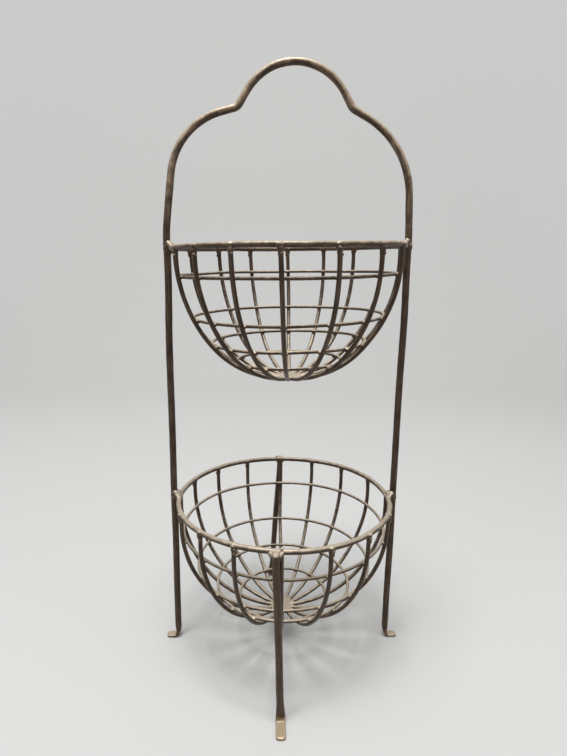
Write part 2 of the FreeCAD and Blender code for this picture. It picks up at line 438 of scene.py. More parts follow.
@dataclass
class Bar:
    """A forged bar: cross-sections along a path, with their width along one side direction."""

    stations: List[Station]
    side: Callable[[Vector], Vector]
    closed: bool = False
    around: int = 14

    def mesh(self, name: str, hand: HandWork) -> bpy.types.Mesh:
        """Skins the cross-sections.

        Args:
            name: The mesh's name.
            hand: The unevenness to work in.

        Returns:
            The mesh.
        """
        skin = bmesh.new()
        points = [hand.moved(s.point) for s in self.stations]
        rings = []
        for index, station in enumerate(self.stations):
            rings.append(self._ring(skin, points, index, station, hand.girth(station.point)))
        pairs = list(zip(rings, rings[1:]))
        if self.closed:
            pairs.append((rings[-1], rings[0]))
        for first, second in pairs:
            for k in range(self.around):
                n = (k + 1) % self.around
                skin.faces.new((first[k], first[n], second[n], second[k]))
        if not self.closed:
            skin.faces.new(rings[0][::-1])
            skin.faces.new(rings[-1])
        bmesh.ops.recalc_face_normals(skin, faces=skin.faces)
        made = bpy.data.meshes.new(name)
        skin.to_mesh(made)
        skin.free()
        self._mark(made, points)
        return made

    def _mark(self, made: bpy.types.Mesh, points: Sequence[Vector]) -> None:
        """Marks each vertex with its place on the bar before it was bent, so that streaks run along the bar.

        Args:
            made: The mesh, with its vertices in the order of the cross-sections.
            points: The path's points after the hand's work.
        """
        marks = made.attributes.new(DRAWN, "FLOAT_VECTOR", "POINT").data
        apart = points[0] * APART
        for index, (station, distance) in enumerate(zip(self.stations, travelled(points))):
            for k in range(self.around):
                angle = 2.0 * math.pi * k / self.around
                place = Vector((station.wide * math.cos(angle), station.wide * math.sin(angle), distance))
                marks[index * self.around + k].vector = apart + place

    def _ring(self, skin: bmesh.types.BMesh, points: Sequence[Vector], index: int, station: Station,
              girth: float) -> List[bmesh.types.BMVert]:
        """Vertices of one cross-section.

        Args:
            skin: The mesh that they go into.
            points: The path's points after the hand's work.
            index: Which point it is.
            station: The cross-section's sizes.
            girth: Share of those sizes here.

        Returns:
            The vertices, in order round the bar.
        """
        count = len(points)
        if self.closed:
            along = points[(index + 1) % count] - points[index - 1]
        else:
            along = points[min(index + 1, count - 1)] - points[max(index - 1, 0)]
        along.normalize()
        side = self.side(station.point)
        side = (side - along * side.dot(along)).normalized()
        other = along.cross(side)
        ring = []
        for k in range(self.around):
            angle = 2.0 * math.pi * k / self.around
            c, s = math.cos(angle), math.sin(angle)
            power = 2.0 / station.square
            sideways = math.copysign(abs(c) ** power, c) * station.wide * girth
            through = math.copysign(abs(s) ** power, s) * station.thick * girth
            ring.append(skin.verts.new(points[index] + side * sideways + other * through))
        return ring


def bent_points(corners: Sequence[Vector], radii: Sequence[float], step: float) -> List[Vector]:
    """Points along straight runs with a tangent arc at each inner corner.

    Args:
        corners: The ends and corners of the route.
        radii: The bend radius at each inner corner.
        step: The distance between points.

    Returns:
        The points, both ends included.
    """
    points = [corners[0].copy()]
    start = corners[0]
    for before, corner, after, radius in zip(corners, corners[1:], corners[2:], radii):
        back = (before - corner).normalized()
        ahead = (after - corner).normalized()
        half_turn = (math.pi - back.angle(ahead)) / 2.0
        reach = radius * math.tan(half_turn)
        entry = corner + back * reach
        centre = corner + (back + ahead).normalized() * (radius / math.cos(half_turn))
        points += run_points(start, entry, step)
        axis = (entry - centre).cross(corner + ahead * reach - centre).normalized()
        count = max(3, math.ceil(2.0 * half_turn * radius / step))
        for k in range(1, count + 1):
            turn = Matrix.Rotation(2.0 * half_turn * k / count, 3, axis)
            points.append(centre + turn @ (entry - centre))
        start = points[-1]
    return points + run_points(start, corners[-1], step)


def run_points(start: Vector, end: Vector, step: float) -> List[Vector]:
    """Points of a straight run, without its start.

    Args:
        start: Where it starts.
        end: Where it ends.
        step: The distance between points.

    Returns:
        The points.
    """
    count = max(1, math.ceil((end - start).length / step))
    return [start.lerp(end, k / count) for k in range(1, count + 1)]


def travelled(points: Sequence[Vector]) -> List[float]:
    """Distance along the path at each point.

    Args:
        points: The path.

    Returns:
        One distance per point.
    """
    total = 0.0
    made = [0.0]
    for first, second in zip(points, points[1:]):
        total += (second - first).length
        made.append(total)
    return made


@dataclass(frozen=True)
class Stock:
    """Radii of the rods and wires, and the small gap at their welds."""

    rod: float = 0.0040
    rim: float = 0.0030
    rib: float = 0.0024
    ring: float = 0.0018
    gap: float = 0.0001
    rim_circle: float = 0.127

    @property
    def rod_circle(self) -> float:
        """Distance of the rods' axes from the middle of the stand."""
        return self.rim_circle + self.rim + self.gap + self.rod

    @property
    def cage_circle(self) -> float:
        """Distance of the ribs' axes from the middle, at the rim."""
        return self.rim_circle + self.rim - self.rib


@dataclass
class Weld:
    """Weld metal: balls and short bars that melt together into one lumpy skin.

    The fine lumps have a height and a number of their own, as shares of the coarse ones.
    """

    hand: HandWork
    voxel: float
    rounds: int
    lump_depth: float
    lump_length: float
    fine_lumps: Span = (0.5, 2.3)
    flow: float = 0.5
    pool: bmesh.types.BMesh = field(default_factory=bmesh.new)

    def ball(self, centre: Vector, radius: float, stretch: Triple = (1.0, 1.0, 1.0)) -> None:
        """Adds a ball.

        Args:
            centre: Its middle, in the true shape.
            radius: Its radius.
            stretch: How much longer it is along each axis.
        """
        size = Matrix.Diagonal(Vector(stretch).to_4d())
        bmesh.ops.create_icosphere(self.pool, subdivisions=2, radius=radius,
                                   matrix=Matrix.Translation(self.hand.moved(centre)) @ size)

    def stub(self, start: Vector, end: Vector, radii: Span) -> None:
        """Adds a short tapered bar.

        Args:
            start: Its first end, in the true shape.
            end: Its other end.
            radii: Its radius at each end.
        """
        first = self.hand.moved(start)
        second = self.hand.moved(end)
        along = second - first
        turn = along.to_track_quat("Z", "Y").to_matrix().to_4x4()
        bmesh.ops.create_cone(self.pool, cap_ends=True, segments=14, radius1=radii[0], radius2=radii[1],
                              depth=along.length, matrix=Matrix.Translation((first + second) / 2.0) @ turn)

    def collar(self, centre: Vector, along: Vector, length: float, radii: Span) -> None:
        """Adds a bar round a wire, thick in the middle and sunk into the wire at both ends.

        Args:
            centre: The wire's axis at the weld.
            along: The wire's direction there.
            length: How far it goes each way.
            radii: Its radius in the middle and at the ends.
        """
        self.stub(centre, centre + along * length, radii)
        self.stub(centre, centre - along * length, radii)

    def mesh(self, name: str) -> bpy.types.Mesh:
        """Melts it.

        Args:
            name: The mesh's name.

        Returns:
            The lumpy skin.
        """
        rough = bpy.data.meshes.new(name + "_rough")
        self.pool.to_mesh(rough)
        self.pool.free()
        holder = bpy.data.objects.new(name + "_rough", rough)
        bpy.context.scene.collection.objects.link(holder)
        melt = holder.modifiers.new("melt", "REMESH")
        melt.mode = "VOXEL"
        melt.voxel_size = self.voxel
        flow = holder.modifiers.new("flow", "SMOOTH")
        flow.factor = self.flow
        flow.iterations = self.rounds
        state = bpy.context.evaluated_depsgraph_get()
        made = bpy.data.meshes.new_from_object(holder.evaluated_get(state))
        bpy.data.objects.remove(holder)
        bpy.data.meshes.remove(rough)
        made.name = name
        normals = [v.normal.copy() for v in made.vertices]
        fine_height, fine_count = self.fine_lumps
        for vertex, normal in zip(made.vertices, normals):
            place = vertex.co / self.lump_length
            lump = noise.noise(place) + fine_height * noise.noise(place * fine_count)
            vertex.co = vertex.co + normal * (lump * self.lump_depth)
        made.update()
        for mark, vertex in zip(made.attributes.new(DRAWN, "FLOAT_VECTOR", "POINT").data, made.vertices):
            mark.vector = vertex.co
        return made


@dataclass(frozen=True)
class Lump:
    """A ball of weld metal, placed outwards, sideways and upwards from a joint."""

    radius: float
    out: float = 0.0
    aside: float = 0.0
    up: float = 0.0
    stretch: Triple = (1.0, 1.0, 1.0)

    def lay(self, pool: Weld, joint: Vector, outward: Vector, way: float = 1.0, size: float = 1.0) -> None:
        """Adds the ball.

        Args:
            pool: The weld metal.
            joint: The middle of the joint.
            outward: The level direction away from the basket's axis.
            way: Share of the sideways distance, below 0 for the other side.
            size: Share of the radius.
        """
        middle = joint + outward * self.out + across(outward) * (way * self.aside) + UP * self.up
        pool.ball(middle, self.radius * size, self.stretch)


class Workshop:
    """Puts finished pieces into the scene, on the frame's body, in place of their solids."""

    def __init__(self, hand: HandWork, iron: bpy.types.Material, weld: bpy.types.Material) -> None:
        """Keeps what all pieces share."""
        self.hand = hand
        self.finish = {"iron": iron, "welds": weld}

    def place(self, made: bpy.types.Mesh, slot: str, nodes: Sequence[str]) -> None:
        """Dresses a piece and puts it in its place.

        Args:
            made: Its mesh, in the frame of the stand.
            slot: Which finish it gets, iron or welds.
            nodes: The solids that it stands for.
        """
        for face in made.polygons:
            face.use_smooth = True
        made.materials.clear()
        made.materials.append(self.finish[slot])
        piece = bpy.data.objects.new(made.name, made)
        bpy.context.scene.collection.objects.link(piece)
        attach(piece, BODY)
        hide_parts(*nodes)
        LOG.info("%s: %d faces, for %s", piece.name, len(made.polygons), ", ".join(nodes))


@dataclass(frozen=True)
class Toe:
    """The hammered end of a rod: it widens above the bend and ends in a flat blunt-nosed pad on the floor.

    A round section has a squareness of 2, and the flat pad has more.
    """

    half_width: float = 0.0053
    half_thickness: float = 0.0016
    bend: float = 0.0048
    flare: float = 0.020
    thin_lead: float = 1.1
    thin_lag: float = 0.5
    nose: float = 0.0036
    nose_width: float = 0.50
    nose_thickness: float = 0.72
    squareness: float = 3.3

    def station(self, point: Vector, from_tip: float, reach: float, rod: float) -> Station:
        """Cross-section near the end of a rod.

        Args:
            point: The rod's axis there.
            from_tip: Distance along the axis from the tip.
            reach: Distance of the tip from the rod's upright run.
            rod: The rod's radius.

        Returns:
            The cross-section, seated on the floor.
        """
        flat = 1.0 - eased(from_tip, reach - self.bend, reach + self.flare)
        thin = 1.0 - eased(from_tip, reach - self.thin_lead * self.bend, reach + self.thin_lag * self.flare)
        wide = blended(rod, self.half_width, flat)
        thick = blended(rod, self.half_thickness, thin)
        if from_tip < self.nose:
            rounding = math.sqrt(1.0 - (1.0 - from_tip / self.nose) ** 2)
            wide *= blended(self.nose_width, 1.0, rounding)
            thick *= blended(self.nose_thickness, 1.0, eased(from_tip, 0.0, self.nose / 2.0))
        level = min(max(1.0 - (point.z - rod) / self.bend, 0.0), 1.0)
        seated = Vector((point.x, point.y, point.z - (rod - thick) * level))
        return Station(seated, wide, thick, blended(2.0, self.squareness, thin))


def thinned(points: Sequence[Vector], distances: Sequence[float], fine: float, every: int) -> List[int]:
    """Which points of a finely divided rod to keep.

    Args:
        points: The points.
        distances: Their distance from the nearest toe tip.
        fine: Up to this distance, all are kept.
        every: Beyond it, one in this many is kept.

    Returns:
        The numbers of the points that stay.
    """
    last = len(points) - 1
    return [i for i in range(len(points)) if distances[i] < fine or i % every == 0 or i in (0, last)]


@dataclass
class HandleFrame:
    """The one rod that is foot, upright, shoulder, arch, shoulder, upright and foot."""

    stock: Stock
    toe: Toe
    rim_height: float
    height: float = 0.6835
    arch_radius: float = 0.060
    arch_half_sweep: float = math.radians(59.0)
    arch_offset: float = 0.0055
    arch_flank: float = 0.018
    notch_bend: float = 0.010
    shoulder_drops: Mapping[Side, float] = field(
        default_factory=lambda: {Side.LEFT: 0.0175, Side.RIGHT: 0.033})
    shoulder_insets: Mapping[Side, float] = field(
        default_factory=lambda: {Side.LEFT: 0.014, Side.RIGHT: 0.006})
    shoulder_share: float = 0.74
    knee_rise: float = 0.014
    knee_share: float = 0.7
    toe_reach: float = 0.0145
    fine_run: float = 0.030
    step: float = 0.0006
    sparse: int = 4
    around: int = 18

    def path(self) -> List[Vector]:
        """Route of the rod's axis.

        Returns:
            Closely spaced points from the left toe to the right toe.
        """
        rod = self.stock.rod
        middle = self.height - rod - self.arch_radius
        sweep = self.arch_half_sweep
        apex = Vector((self.arch_offset, 0.0, middle + self.arch_radius / math.cos(sweep)))
        notch_reach = self.arch_radius * math.sin(sweep) + self.arch_flank * math.cos(sweep)
        notch_height = middle + self.arch_radius * math.cos(sweep) - self.arch_flank * math.sin(sweep)
        corners = {}
        radii = {}
        for side, drop in self.shoulder_drops.items():
            x = side.value * self.stock.rod_circle
            tip = Vector((x + side.value * self.toe_reach, 0.0, rod))
            ankle = Vector((x, 0.0, rod))
            knee = Vector((x, 0.0, self.rim_height + self.knee_rise))
            shoulder = Vector((x - side.value * self.shoulder_insets[side], 0.0, notch_height - drop))
            notch = Vector((self.arch_offset + side.value * notch_reach, 0.0, notch_height))
            lean = (knee - ankle).angle(shoulder - knee)
            turn = (shoulder - knee).angle(notch - shoulder)
            run = self.shoulder_share * (notch - shoulder).length
            corners[side] = [tip, ankle, knee, shoulder, notch]
            radii[side] = [self.toe.bend, self.knee_share * self.knee_rise / math.tan(lean / 2.0),
                           run / math.tan(turn / 2.0), self.notch_bend]
        return bent_points(corners[Side.LEFT] + [apex] + corners[Side.RIGHT][::-1],
                           radii[Side.LEFT] + [self.arch_radius] + radii[Side.RIGHT][::-1], self.step)

    def build(self, shop: Workshop) -> None:
        """Builds and dresses the rod.

        Args:
            shop: Where the piece goes.
        """
        points = self.path()
        distances = travelled(points)
        from_tip = [min(d, distances[-1] - d) for d in distances]
        stations = [self.toe.station(points[i], from_tip[i], self.toe_reach, self.stock.rod)
                    for i in thinned(points, from_tip, self.fine_run, self.sparse)]
        rod = Bar(stations, lambda point: Vector((0.0, 1.0, 0.0)), around=self.around)
        shop.place(rod.mesh("hoop_rod", shop.hand), "iron", ["frame_hoop"])


@dataclass
class ShortLeg:
    """A short leg outside the lower rim."""

    stock: Stock
    toe: Toe
    place: LegPlace
    top_shift: float
    foot_shift: float
    rim_height: float
    toe_reach: float = 0.024
    top_share: float = 0.55
    top_round: float = 0.6
    fine_run: float = 0.040
    step: float = 0.0006
    sparse: int = 4
    around: int = 18

    @property
    def name(self) -> str:
        """Name of the leg's node."""
        return "front_leg" if self.place is LegPlace.FRONT else "rear_leg"

    @property
    def top(self) -> Vector:
        """Upper end of the leg's axis, level with the middle of the rim."""
        away = math.sqrt(self.stock.rod_circle ** 2 - self.top_shift ** 2)
        return Vector((-self.top_shift, self.place.value * away, self.rim_height))

    @property
    def ankle(self) -> Vector:
        """Corner of the leg's axis at the floor."""
        return Vector((-self.foot_shift, self.top.y, self.stock.rod))

    def build(self, shop: Workshop) -> None:
        """Builds and dresses the leg.

        Args:
            shop: Where the piece goes.
        """
        reach = self.stock.rod_circle + self.toe_reach - abs(self.top.y)
        tip = self.ankle + Vector((0.0, self.place.value * reach, 0.0))
        points = bent_points([self.top, self.ankle, tip], [self.toe.bend], self.step)
        distances = travelled(points)
        from_tip = [distances[-1] - d for d in distances]
        stations = []
        for i in thinned(points, from_tip, self.fine_run, self.sparse):
            station = self.toe.station(points[i], from_tip[i], reach, self.stock.rod)
            below_top = eased(distances[i], 0.0, self.top_round * self.stock.rod)
            round_off = blended(self.top_share, 1.0, below_top)
            station.wide *= round_off
            station.thick *= round_off
            stations.append(station)
        rod = Bar(stations, lambda point: Vector((1.0, 0.0, 0.0)), around=self.around)
        shop.place(rod.mesh(self.name + "_rod", shop.hand), "iron", [self.name])


@dataclass(frozen=True)
class HubWeld:
    """The mound where the ribs meet: a finger along each rib, a flat core, and lumps in a spiral."""

    finger: float = 0.021
    finger_spread: float = 0.003
    finger_end: float = 0.006
    finger_shares: Span = (0.85, 1.25)
    core: float = 0.0095
    core_stretch: Triple = (1.0, 1.0, 0.30)
    lump: float = 0.0034
    lump_stretch: Triple = (1.15, 1.15, 0.80)
    lumps: int = 9
    lump_turn: float = 2.4
    lump_reach: float = 0.0042
    lump_lifts: Triple = (0.0, 0.0004, 0.0008)
    seed: Triple = (1.7, 90.0, 0.0)

    def lay(self, pool: Weld, basket: "Basket") -> None:
        """Adds the mound.

        Args:
            pool: The weld metal.
            basket: The basket that it belongs to.
        """
        radii = scaled(basket.stock.rib, self.finger_shares)
        for index, angle in enumerate(basket.angles):
            reach = self.finger + self.finger_spread * varied(self.seed, index, basket.depth)
            outer = basket.turned(basket.floor_point(reach), angle)
            inner = basket.turned(basket.floor_point(self.finger_end), angle)
            pool.stub(outer, inner, radii)
        pool.ball(basket.turned(basket.floor_point(0.0), 0.0), self.core, self.core_stretch)
        for k in range(self.lumps):
            lift = UP * self.lump_lifts[k % len(self.lump_lifts)]
            place = basket.floor_point(self.lump_reach * math.sqrt(k)) + lift
            pool.ball(basket.turned(place, self.lump_turn * k), self.lump, self.lump_stretch)


@dataclass(frozen=True)
class RingWeld:
    """The bead where a rib crosses a ring: two balls side by side, and a collar on the ring."""

    ball: float = 0.0023
    apart: float = 0.0012
    spread: float = 0.30
    twin_spread: float = 0.25
    collar: float = 0.0042
    collar_shares: Span = (1.12, 0.80)
    seed: Triple = (3.1, 5.3, 37.0)

    def lay(self, pool: Weld, basket: "Basket", drop: float, angle: float, chance: float) -> None:
        """Adds the bead.

        Args:
            pool: The weld metal.
            basket: The basket that it belongs to.
            drop: The crossing's drop below the rim.
            angle: The rib's direction.
            chance: A number from about -1 to 1 that makes beads differ.
        """
        axis, normal = basket.profile(drop)
        middle = basket.turned(axis - normal * basket.stock.rib, angle)
        sideways = across(heading(angle))
        size = self.ball * (1.0 + self.spread * chance)
        pool.ball(middle + sideways * self.apart, size)
        pool.ball(middle - sideways * self.apart, size * (1.0 + self.twin_spread * chance))
        pool.collar(basket.turned(basket.ring_seat(drop), angle), sideways, self.collar,
                    scaled(basket.stock.ring, self.collar_shares))


@dataclass(frozen=True)
class RimWeld:
    """The bead at the top of a rib: a collar on the rim, a neck on the rib, and three lumps."""

    collar: float = 0.0080
    collar_shares: Span = (1.12, 0.85)
    drop: float = 0.0006
    neck_above: float = 0.002
    neck_below: float = 0.0085
    neck_spread: float = 0.002
    neck_shares: Span = (1.35, 0.85)
    cap: Lump = Lump(0.0034, out=0.0012, aside=0.0012, stretch=(1.0, 1.0, 0.9))
    cap_spread: float = 0.12
    cheek: Lump = Lump(0.0033, out=0.0008, aside=-0.0016)
    drip: Lump = Lump(0.0023, out=0.0012, aside=0.0010, up=-0.0046)
    drip_spread: float = 0.0015
    rod_distance: float = 0.018
    seed: Triple = (2.3, 51.0, 4.0)

    def lay(self, pool: Weld, rim: Vector, outward: Vector, stock: Stock, chance: float) -> None:
        """Adds the bead.

        Args:
            pool: The weld metal.
            rim: The rim's axis at the rib.
            outward: The rib's direction from the basket's axis.
            stock: The wire sizes.
            chance: A number from about -1 to 1 that makes beads differ.
        """
        under = rim + outward * (stock.rim - stock.rib) - UP * (stock.rim + self.drop)
        low = under - UP * (self.neck_below + self.neck_spread * chance)
        pool.collar(rim, across(outward), self.collar, scaled(stock.rim, self.collar_shares))
        pool.stub(under + UP * self.neck_above, low, scaled(stock.rib, self.neck_shares))
        self.cap.lay(pool, rim, outward, chance, 1.0 + self.cap_spread * chance)
        self.cheek.lay(pool, under, outward, chance)
        self.drip.lay(pool, under - UP * (self.drip_spread * chance), outward)


@dataclass(frozen=True)
class RodWeld:
    """The weld between a rim and an upright: collars on both, a web above the rim, and lumps."""

    rim_collar: float = 0.0125
    rim_shares: Span = (1.16, 0.80)
    rod_collar: float = 0.0115
    rod_shares: Span = (1.10, 0.85)
    web_top: float = 0.0070
    web_foot: float = 0.0008
    web_reach: float = 0.0080
    web_radii: Span = (0.0034, 0.0028)
    cheek: Lump = Lump(0.0034, out=0.0016, aside=0.0036, up=0.0022)
    crown: Lump = Lump(0.0040, out=0.0026, up=0.0030)
    chin: Lump = Lump(0.0034, out=0.0022, up=-0.0030)
    knob: Lump = Lump(0.0037, out=0.0010, aside=-0.0010, stretch=(1.0, 1.0, 1.4))

    def lay(self, pool: Weld, basket: "Basket", outward: Vector) -> None:
        """Adds the weld.

        Args:
            pool: The weld metal.
            basket: The basket whose rim it is on.
            outward: The rod's direction from the basket's axis.
        """
        stock = basket.stock
        sideways = across(outward)
        rim = basket.rim_point(outward)
        rod = outward * stock.rod_circle + UP * rim.z
        pool.collar(rim, sideways, self.rim_collar, scaled(stock.rim, self.rim_shares))
        pool.collar(rod, UP, self.rod_collar, scaled(stock.rod, self.rod_shares))
        for way in (-1.0, 1.0):
            foot = rim + sideways * (way * self.web_reach) + UP * self.web_foot
            pool.stub(rod + UP * self.web_top, foot, self.web_radii)
            self.cheek.lay(pool, rim, outward, way)
        self.crown.lay(pool, rim, outward)
        self.chin.lay(pool, rim, outward)
        self.knob.lay(pool, rod, outward)


@dataclass(frozen=True)
class LegWeld:
    """The weld at the top of a short leg: a cap, a patch on the rim, a flare to both sides and a knob."""

    rim_collar: float = 0.0095
    rim_shares: Span = (1.08, 0.80)
    neck: float = 0.0110
    neck_shares: Span = (1.06, 0.85)
    cap: Lump = Lump(0.00408, up=-0.0004, stretch=(1.0, 1.0, 0.75))
    patch: Lump = Lump(0.0038, out=0.0030, stretch=(1.15, 1.0, 0.70))
    flare_drop: float = 0.0080
    flare_out: float = 0.0014
    flare_reach: float = 0.0068
    flare_radii: Span = (0.0028, 0.0023)
    knob: Lump = Lump(0.0020, aside=0.0056, up=0.0030)

    def lay(self, pool: Weld, basket: "Basket", leg: ShortLeg) -> None:
        """Adds the weld.

        Args:
            pool: The weld metal.
            basket: The basket whose rim it is on.
            leg: The leg.
        """
        stock = basket.stock
        outward = Vector((leg.top.x, leg.top.y, 0.0)).normalized()
        rim = basket.rim_point(outward)
        down = (leg.ankle - leg.top).normalized()
        pool.collar(rim, across(outward), self.rim_collar, scaled(stock.rim, self.rim_shares))
        pool.stub(leg.top, leg.top + down * self.neck, scaled(stock.rod, self.neck_shares))
        self.cap.lay(pool, leg.top, outward)
        self.patch.lay(pool, rim, outward)
        for way in (-1.0, 1.0):
            foot = rim + outward * self.flare_out + across(outward) * (way * self.flare_reach)
            pool.stub(leg.top + down * self.flare_drop, foot, self.flare_radii)
        self.knob.lay(pool, rim, outward)


@dataclass
class Basket:
    """One basket: rim, ribs, rings, hub and their welds.

    A rib is a straight wall and two tangent bends. A ring's share is its drop below the rim as a part of the
    depth, and a rib's shift is how far it stands from its even place, as a part of the spacing. A closing
    lump is the direction of a ring's own weld, where that shows.
    """

    stock: Stock
    tier: Tier
    rim_height: float
    depth: float
    wall: float
    lean: float
    ring_shares: Sequence[float]
    rib_shifts: Sequence[float]
    closing_lumps: Mapping[str, float]
    first_rib: float = math.radians(-90.0)
    rib_start: float = 0.0012
    rib_end: float = 0.007
    closing_rise: float = 0.30
    closing_length: float = 0.0032
    step: float = 0.0025
    rib_around: int = 12
    hub_weld: HubWeld = HubWeld()
    ring_weld: RingWeld = RingWeld()
    rim_weld: RimWeld = RimWeld()

    def __post_init__(self) -> None:
        """Works out the two bends of a rib, which meet at 45 degrees, and the basket's place."""
        slant = math.sin(BENDS_MEET)
        cage = self.stock.cage_circle
        bowl = self.depth - self.wall
        self.side_bend = (1.0 + slant) * bowl - slant * cage
        self.floor_bend = (1.0 + slant) * cage - slant * bowl
        self.matrix = Matrix.Translation((0.0, 0.0, self.rim_height)) @ Matrix.Rotation(-self.lean, 4, "Y")
        spacing = 2.0 * math.pi / len(self.rib_shifts)
        self.angles = [self.first_rib + (i + shift) * spacing for i, shift in enumerate(self.rib_shifts)]

    def node(self, words: str) -> str:
        """Name of a node of this basket."""
        return "%s_%s" % (self.tier.value, words)

    def side_point(self, bend: float) -> Vector:
        """Point of a rib's side bend at an angle from the level, in the XZ plane."""
        return Vector((self.stock.cage_circle - self.side_bend * (1.0 - math.cos(bend)), 0.0,
                       -self.wall - self.side_bend * math.sin(bend)))

    def base_point(self, bend: float) -> Vector:
        """Point of a rib's floor bend at an angle from the level, in the XZ plane."""
        return Vector((self.floor_bend * math.cos(bend), 0.0,
                       -self.depth + self.floor_bend * (1.0 - math.sin(bend))))

    def floor_point(self, reach: float) -> Vector:
        """Point of a rib's floor bend at a reach from the middle, in the XZ plane."""
        return self.base_point(math.acos(reach / self.floor_bend))

    def profile(self, drop: float) -> Tuple[Vector, Vector]:
        """Axis of a rib at a drop below the rim.

        Args:
            drop: The drop.

        Returns:
            The point and the outward normal, in the XZ plane of the basket's own frame.
        """
        if drop <= self.wall + self.side_bend * math.sin(BENDS_MEET):
            angle = math.asin(max(drop - self.wall, 0.0) / self.side_bend)
            reach = self.side_point(angle).x
        else:
            angle = math.asin((drop - self.depth + self.floor_bend) / self.floor_bend)
            reach = self.base_point(angle).x
        return Vector((reach, 0.0, -drop)), Vector((math.cos(angle), 0.0, -math.sin(angle)))

    def turned(self, point: Vector, angle: float) -> Vector:
        """Point of the basket's own XZ plane, turned to an angle in the leaning basket."""
        return self.matrix @ (Matrix.Rotation(angle, 4, "Z") @ point)

    def ring_seat(self, drop: float) -> Vector:
        """Middle of a ring's wire at a drop, inside the ribs, in the XZ plane."""
        axis, normal = self.profile(drop)
        return axis - normal * (self.stock.rib + self.stock.gap + self.stock.ring)

    def rim_point(self, outward: Vector) -> Vector:
        """Middle of the rim's wire in a direction from the basket's axis."""
        return self.matrix @ (outward * self.stock.rim_circle)

    def rib_points(self, angle: float) -> List[Vector]:
        """Axis of a rib from the rim to the hub.

        Args:
            angle: The rib's direction.

        Returns:
            The points.
        """
        top = Vector((self.stock.cage_circle, 0.0, -self.rib_start))
        flat = [top] + run_points(top, self.side_point(0.0), self.step)
        count = math.ceil(self.side_bend * BENDS_MEET / self.step)
        flat += [self.side_point(BENDS_MEET * k / count) for k in range(1, count + 1)]
        last = math.acos(self.rib_end / self.floor_bend)
        count = math.ceil(self.floor_bend * (last - BENDS_MEET) / self.step)
        flat += [self.base_point(blended(BENDS_MEET, last, k / count)) for k in range(1, count + 1)]
        return [self.turned(point, angle) for point in flat]

    def hoop(self, reach: float, height: float, radius: float, lump: Optional[float]) -> Bar:
        """A wire ring.

        Args:
            reach: Radius of its axis.
            height: Height above the rim, in the basket's own frame.
            radius: Radius of the wire.
            lump: Direction of its closing weld, if it shows.

        Returns:
            The ring as a bar.
        """
        count = math.ceil(2.0 * math.pi * reach / self.step)
        stations = []
        for k in range(count):
            angle = 2.0 * math.pi * k / count
            size = radius
            if lump is not None:
                off = reach * math.remainder(angle - lump, 2.0 * math.pi)
                size *= 1.0 + self.closing_rise * math.exp(-(off / self.closing_length) ** 2)
            point = self.matrix @ (heading(angle) * reach + UP * height)
            stations.append(Station(point, size, size))
        return Bar(stations, lambda point: UP, closed=True)

    def build_rim(self, shop: Workshop) -> None:
        """Builds and dresses the rim."""
        rim = self.hoop(self.stock.rim_circle, 0.0, self.stock.rim, self.closing_lumps.get("rim"))
        shop.place(rim.mesh(self.node("rim_wire"), shop.hand), "iron", [self.node("rim")])

    def build_rings(self, shop: Workshop) -> None:
        """Builds and dresses the thin rings.

        Args:
            shop: Where the pieces go.
        """
        for number, share in enumerate(self.ring_shares, 2):
            words = "ring_%d" % number
            seat = self.ring_seat(share * self.depth)
            ring = self.hoop(seat.x, seat.z, self.stock.ring, self.closing_lumps.get(words))
            shop.place(ring.mesh(self.node(words + "_wire"), shop.hand), "iron", [self.node(words)])

    def build_ribs(self, shop: Workshop) -> None:
        """Builds and dresses the ribs.

        Args:
            shop: Where the pieces go.
        """
        for number, angle in enumerate(self.angles, 1):
            words = "rib_%02d" % number
            sideways = across(heading(angle))
            stations = [Station(point, self.stock.rib, self.stock.rib) for point in self.rib_points(angle)]
            rib = Bar(stations, lambda point, sideways=sideways: sideways, around=self.rib_around)
            shop.place(rib.mesh(self.node(words + "_wire"), shop.hand), "iron", [self.node(words)])

    def build_hub(self, shop: Workshop) -> None:
        """Builds and dresses the mound of weld metal where the ribs meet.

        Args:
            shop: Where the piece goes.
        """
        pool = Weld(shop.hand, voxel=0.0007, rounds=5, lump_depth=0.0006, lump_length=0.0034)
        self.hub_weld.lay(pool, self)
        shop.place(pool.mesh(self.node("hub_mound")), "welds", [self.node("hub")])

    def build_ring_beads(self, shop: Workshop) -> None:
        """Builds and dresses the beads at the crossings of ribs and rings.

        Args:
            shop: Where the piece goes.
        """
        pool = Weld(shop.hand, voxel=0.00055, rounds=3, lump_depth=0.00028, lump_length=0.0019)
        for number, share in enumerate(self.ring_shares):
            for index, angle in enumerate(self.angles):
                chance = varied(self.ring_weld.seed, index, number, self.rim_height)
                self.ring_weld.lay(pool, self, share * self.depth, angle, chance)
        shop.place(pool.mesh(self.node("ring_beads")), "welds", [self.node("ring_welds")])

    def build_rim_beads(self, shop: Workshop, rods: Sequence[Vector]) -> None:
        """Builds and dresses the beads at the rib tops that no rod's weld takes in.

        Args:
            shop: Where the piece goes.
            rods: The axes of the rods at the rim.
        """
        pool = Weld(shop.hand, voxel=0.0006, rounds=4, lump_depth=0.0004, lump_length=0.0024)
        for index, angle in enumerate(self.angles):
            rim = self.rim_point(heading(angle))
            if min((rim - rod).xy.length for rod in rods) < self.rim_weld.rod_distance:
                continue
            chance = varied(self.rim_weld.seed, index, self.rim_height)
            self.rim_weld.lay(pool, rim, heading(angle), self.stock, chance)
        shop.place(pool.mesh(self.node("rim_beads")), "welds", [self.node("rim_welds")])


